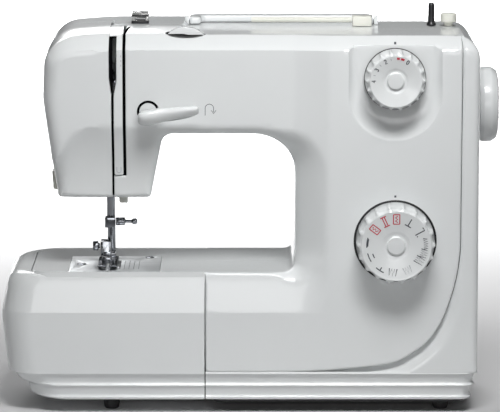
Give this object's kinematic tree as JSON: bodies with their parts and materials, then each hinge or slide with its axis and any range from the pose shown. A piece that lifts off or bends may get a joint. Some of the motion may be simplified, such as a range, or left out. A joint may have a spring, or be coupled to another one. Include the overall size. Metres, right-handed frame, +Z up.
{
  "type": "sewing machine",
  "caption": "Domestic free-arm sewing machine with a removable extension table, two front dials, a reverse lever, a side handwheel and a folding handle.",
  "frame": {"origin": "on the table, under the middle of the machine's bounding box", "axes": "+X to the right as the user sees the machine, from the needle end to the handwheel; +Y from front to back; +Z up"},
  "size_m": [0.3838, 0.1514, 0.3094],
  "materials": {
    "body_white": "gloss",
    "cream_plastic": "satin",
    "black_plastic": "satin",
    "foot_rubber": "matte",
    "belt_rubber": "matte",
    "plate_steel": "satin",
    "polished_steel": "gloss",
    "machined_steel": "satin",
    "cast_frame": "matte",
    "motor_paint": "satin",
    "clear_plastic": "gloss"
  },
  "bodies": {
    "casing": {"front_cover": "body_white", "rear_cover": "body_white", "base_cover": "body_white", "bottom_plate": "black_plastic", "thread_channel": "body_white", "needle_plate": "plate_steel", "plate_screw_left": "plate_steel", "plate_screw_right": "plate_steel", "hook_door": "body_white", "head_bracket": "cast_frame", "frame_casting": "cast_frame", "motor": "motor_paint", "motor_belt": "belt_rubber", "timing_belt": "belt_rubber", "lamp": "clear_plastic", "power_inlet": "black_plastic", "bobbin_case": "polished_steel", "tension_discs": "polished_steel", "spool_pin": "cream_plastic", "spool_pin_base": "cream_plastic", "bobbin_stopper": "cream_plastic", "top_thread_guide": "clear_plastic", "handle_lug_left": "body_white", "handle_lug_right": "body_white", "foot_right_front": "foot_rubber", "foot_right_rear": "foot_rubber", "foot_left_front": "foot_rubber", "foot_left_rear": "foot_rubber"},
    "table": {"extension_table": "body_white", "table_foot_front": "foot_rubber", "table_foot_rear": "foot_rubber"},
    "face_door": {"face_plate": "body_white", "thread_cutter": "cream_plastic"},
    "drive_shaft": {"handwheel": "body_white", "upper_shaft": "machined_steel"},
    "lower_drive": {"lower_shaft": "machined_steel"},
    "motor_rotor": {"motor_pulley": "machined_steel"},
    "needle_carrier": {"needle_bar": "polished_steel", "needle_clamp": "polished_steel", "clamp_screw": "polished_steel", "needle": "polished_steel"},
    "presser": {"presser_bar": "polished_steel", "foot_ankle": "polished_steel", "foot_screw": "polished_steel", "presser_foot": "polished_steel"},
    "lifter": {"presser_lifter": "cream_plastic"},
    "thread_lever": {"take_up_lever": "polished_steel"},
    "feed": {"feed_dog": "machined_steel"},
    "shuttle": {"hook": "polished_steel"},
    "bobbin_spool": {"bobbin": "polished_steel"},
    "length_control": {"stitch_length_dial": "body_white", "stitch_length_skirt": "black_plastic"},
    "pattern_control": {"pattern_dial": "body_white", "pattern_skirt": "black_plastic"},
    "reverse_control": {"reverse_lever": "body_white"},
    "tension_control": {"tension_dial": "body_white"},
    "handle": {"carrying_handle": "body_white"},
    "winder_carriage": {"winder_arm": "machined_steel"},
    "winder": {"winder_spindle": "black_plastic"},
    "switch": {"power_switch": "black_plastic"}
  },
  "joints": [
    {"name": "table_slide", "type": "slide", "parent": "casing", "child": "table", "axis": [-1, 0, 0], "range_m": [0, 0.16]},
    {"name": "face_plate_hinge", "type": "hinge", "parent": "casing", "child": "face_door", "pos_m": [-0.1583, 0.0302, 0.22], "axis": [0, 0, 1], "range_deg": [-100, 0]},
    {"name": "handwheel_spin", "type": "hinge", "parent": "casing", "child": "drive_shaft", "pos_m": [0, 0.0072, 0.2327], "axis": [1, 0, 0], "continuous": true},
    {"name": "lower_shaft_spin", "type": "hinge", "parent": "casing", "child": "lower_drive", "pos_m": [0, 0.01, 0.062], "axis": [1, 0, 0], "continuous": true},
    {"name": "motor_spin", "type": "hinge", "parent": "casing", "child": "motor_rotor", "pos_m": [0.1, 0.04, 0.062], "axis": [1, 0, 0], "continuous": true},
    {"name": "needle_bar_slide", "type": "slide", "parent": "casing", "child": "needle_carrier", "axis": [0, 0, 1], "range_m": [-0.021, 0.009]},
    {"name": "presser_bar_slide", "type": "slide", "parent": "casing", "child": "presser", "axis": [0, 0, 1], "range_m": [0, 0.006]},
    {"name": "lifter_hinge", "type": "hinge", "parent": "casing", "child": "lifter", "pos_m": [-0.1, 0.02, 0.176], "axis": [1, 0, 0], "range_deg": [0, 55]},
    {"name": "take_up_hinge", "type": "hinge", "parent": "casing", "child": "thread_lever", "pos_m": [-0.1026, 0.002, 0.266], "axis": [1, 0, 0], "range_deg": [-24, 6]},
    {"name": "feed_slide", "type": "slide", "parent": "casing", "child": "feed", "axis": [0, 1, 0], "range_m": [-0.0015, 0.0015]},
    {"name": "hook_swing", "type": "hinge", "parent": "casing", "child": "shuttle", "pos_m": [-0.1076, -0.02, 0.078], "axis": [0, 1, 0], "range_deg": [-100, 100]},
    {"name": "bobbin_spin", "type": "hinge", "parent": "casing", "child": "bobbin_spool", "pos_m": [-0.1076, -0.03, 0.078], "axis": [0, 1, 0], "continuous": true},
    {"name": "stitch_length_turn", "type": "hinge", "parent": "casing", "child": "length_control", "pos_m": [0.1102, -0.052, 0.2597], "axis": [0, 1, 0], "range_deg": [-30, 240]},
    {"name": "pattern_turn", "type": "hinge", "parent": "casing", "child": "pattern_control", "pos_m": [0.1111, -0.052, 0.1351], "axis": [0, 1, 0], "continuous": true},
    {"name": "reverse_press", "type": "hinge", "parent": "casing", "child": "reverse_control", "pos_m": [-0.0778, -0.052, 0.2323], "axis": [0, 1, 0], "range_deg": [0, 16], "stiffness_Nm_per_rad": 0.4},
    {"name": "tension_turn", "type": "hinge", "parent": "casing", "child": "tension_control", "pos_m": [-0.0489, -0.027, 0.277], "axis": [0, 1, 0], "range_deg": [-150, 150]},
    {"name": "handle_fold", "type": "hinge", "parent": "casing", "child": "handle", "pos_m": [0.025, 0.04, 0.2943], "axis": [1, 0, 0], "range_deg": [0, 90]},
    {"name": "winder_shift", "type": "slide", "parent": "casing", "child": "winder_carriage", "axis": [1, 0, 0], "range_m": [0, 0.0035]},
    {"name": "winder_spin", "type": "hinge", "parent": "winder_carriage", "child": "winder", "pos_m": [0.1415, 0.028, 0.29], "axis": [0, 0, 1], "continuous": true},
    {"name": "switch_rock", "type": "hinge", "parent": "casing", "child": "switch", "pos_m": [0.171, 0.04, 0.12], "axis": [0, 1, 0], "range_deg": [0, 5]}
  ],
  "couplings": [
    {"joint": "lower_shaft_spin", "follows": "handwheel_spin", "ratio": 1},
    {"joint": "motor_spin", "follows": "handwheel_spin", "ratio": 3.7143},
    {"joint": "lifter_hinge", "follows": "presser_bar_slide", "rad_per_m": 159.99}
  ]
}
